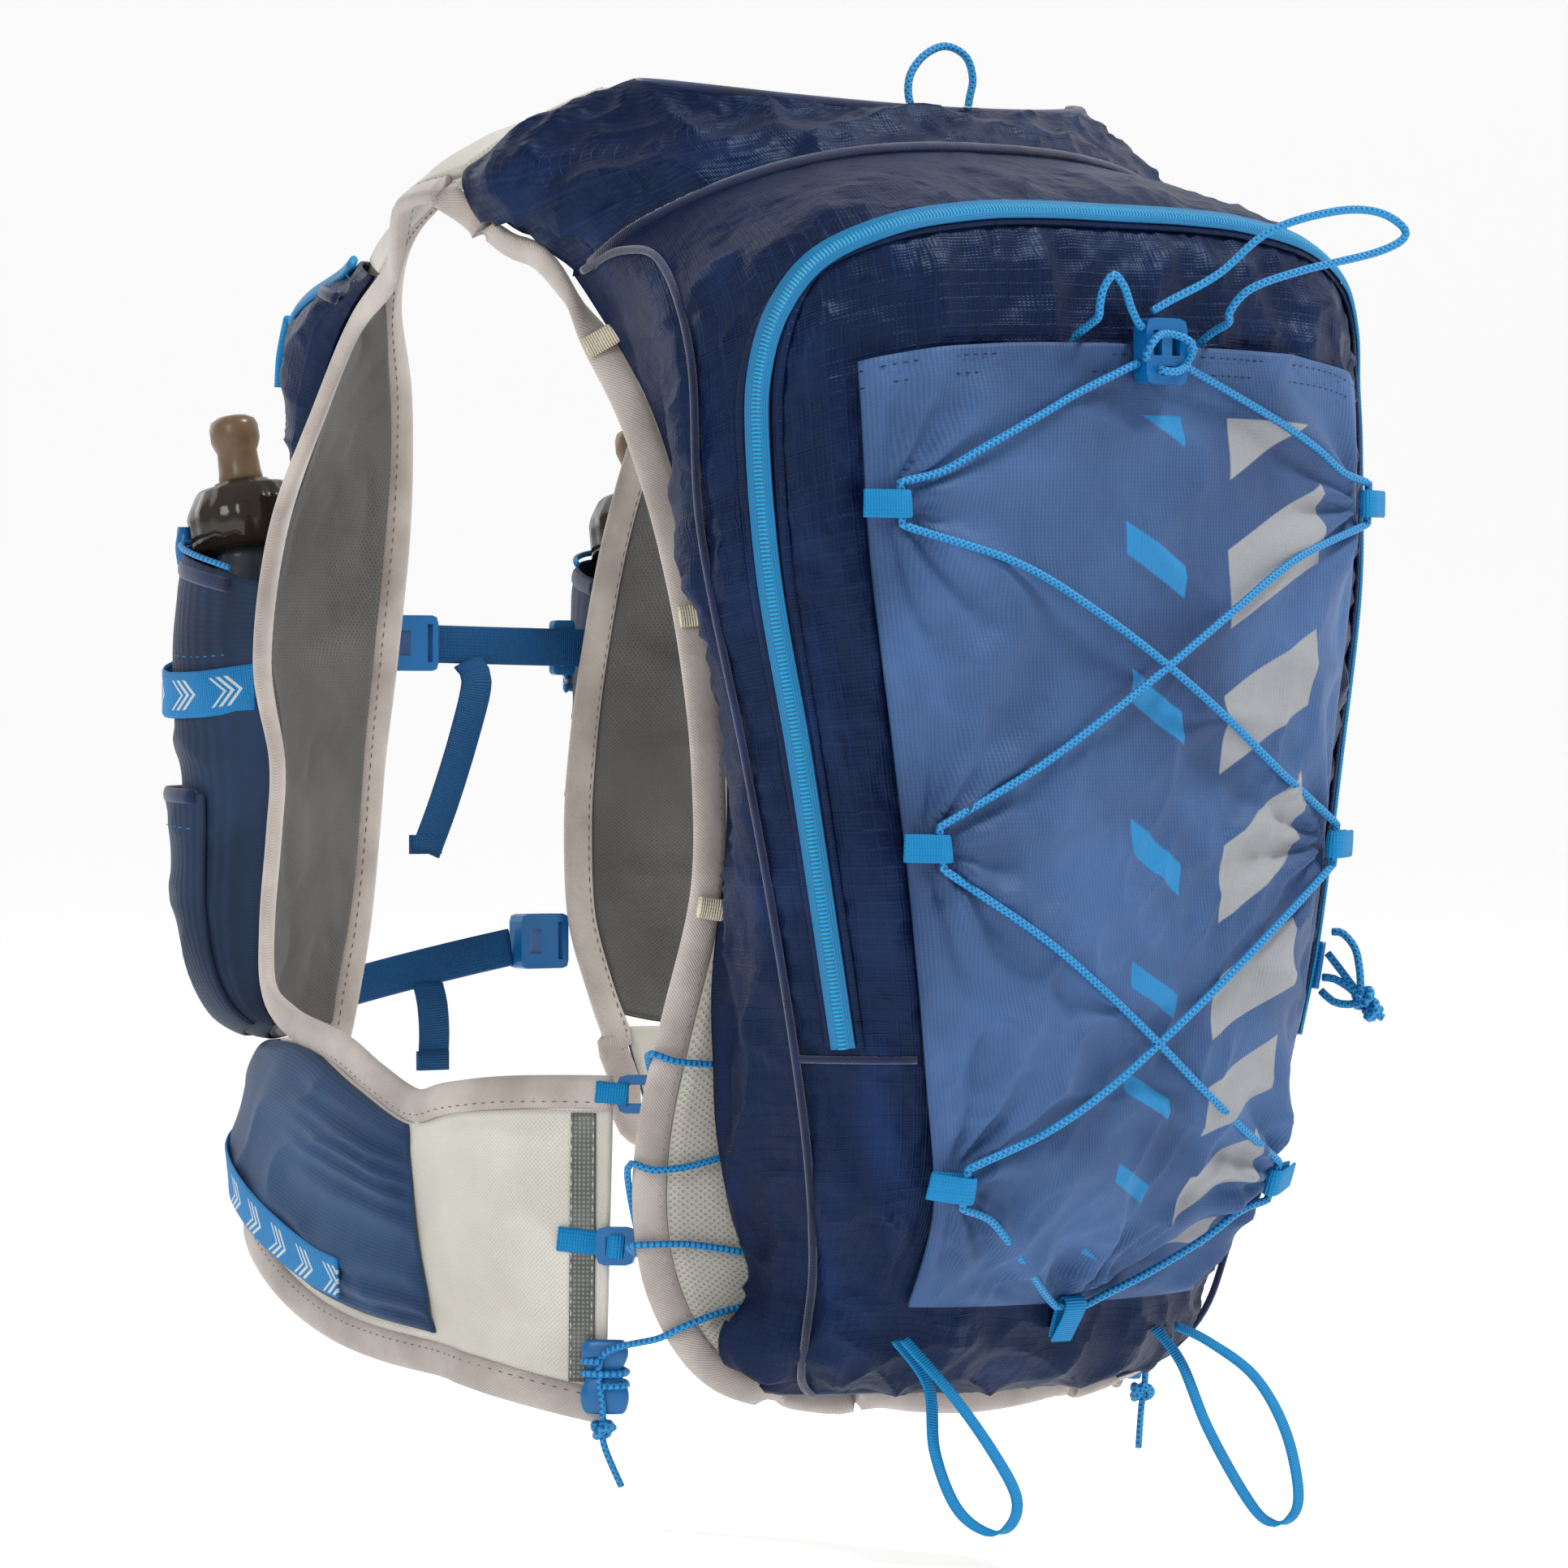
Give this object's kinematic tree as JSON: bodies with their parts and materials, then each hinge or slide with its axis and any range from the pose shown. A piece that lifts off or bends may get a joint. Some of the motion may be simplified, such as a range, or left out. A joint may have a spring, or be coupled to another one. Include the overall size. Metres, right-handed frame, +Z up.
{
  "type": "running hydration vest",
  "caption": "Navy and blue running vest pack with a laced stretch pocket, mesh wings, soft flasks in its chest pockets and blue sternum straps",
  "frame": {"origin": "midway between the two shoulder straps, just under their tops", "axes": "+Z up, the wearer faces -Y, +X is the wearer's left"},
  "size_m": [0.3368, 0.4735, 0.5507],
  "materials": {
    "ripstop": "crinkled ripstop nylon",
    "stretch": "stretch knit",
    "front_stretch": "stretch mesh",
    "mesh": "spacer mesh",
    "inner_mesh": "fine mesh",
    "binding": "padded edge binding",
    "cord": "woven cord and webbing",
    "webbing": "woven webbing",
    "buckle": "moulded acetal",
    "flask": "soft clear film",
    "cap": "smoked plastic"
  },
  "bodies": {
    "root": {"back_panel": "mesh", "bag_shell": "ripstop", "yoke": "ripstop", "stretch_pocket": "stretch", "main_zipper": "cord", "shoulder_strap_left": "mesh", "shoulder_strap_right": "mesh", "front_panel_left": "inner_mesh", "front_panel_right": "inner_mesh", "side_wing_left": "mesh", "side_wing_right": "mesh", "front_binding_left": "binding", "front_binding_right": "binding", "hem_binding_left": "binding", "hem_binding_right": "binding", "back_binding": "binding", "shoulder_pocket_left": "ripstop", "shoulder_pocket_right": "ripstop", "bottle_pocket_left": "front_stretch", "bottle_pocket_right": "front_stretch", "lower_pocket_left": "front_stretch", "lower_pocket_right": "front_stretch", "waist_pocket_left": "stretch", "waist_pocket_right": "stretch", "lash_loop_1": "cord", "lash_loop_2": "cord", "lash_loop_3": "cord", "lash_loop_4": "cord", "lash_loop_5": "cord", "lash_loop_6": "cord", "lash_loop_7": "cord", "cord_hook": "buckle", "bungee_lace": "cord", "bottle_strap_left": "cord", "bottle_strap_right": "cord", "waist_strap_left": "cord", "waist_strap_right": "cord", "flask_left": "flask", "flask_right": "flask", "flask_cap_left": "cap", "flask_cap_right": "cap", "sternum_strap_upper": "webbing", "sternum_buckle_upper": "buckle", "sternum_slider_upper": "buckle", "sternum_strap_lower": "webbing", "sternum_buckle_lower": "buckle", "haul_loop": "cord", "axe_loop_left": "cord", "axe_loop_right": "cord", "bungee_top_loop": "cord", "hem_loop": "cord", "zip_pull_cord": "cord", "side_slider_top_left": "buckle", "side_slider_top_right": "buckle", "side_slider_low_left": "buckle", "side_slider_low_right": "buckle", "side_cleat_left": "buckle", "side_cleat_right": "buckle", "side_lace_left": "cord", "side_lace_right": "cord"}
  },
  "joints": []
}
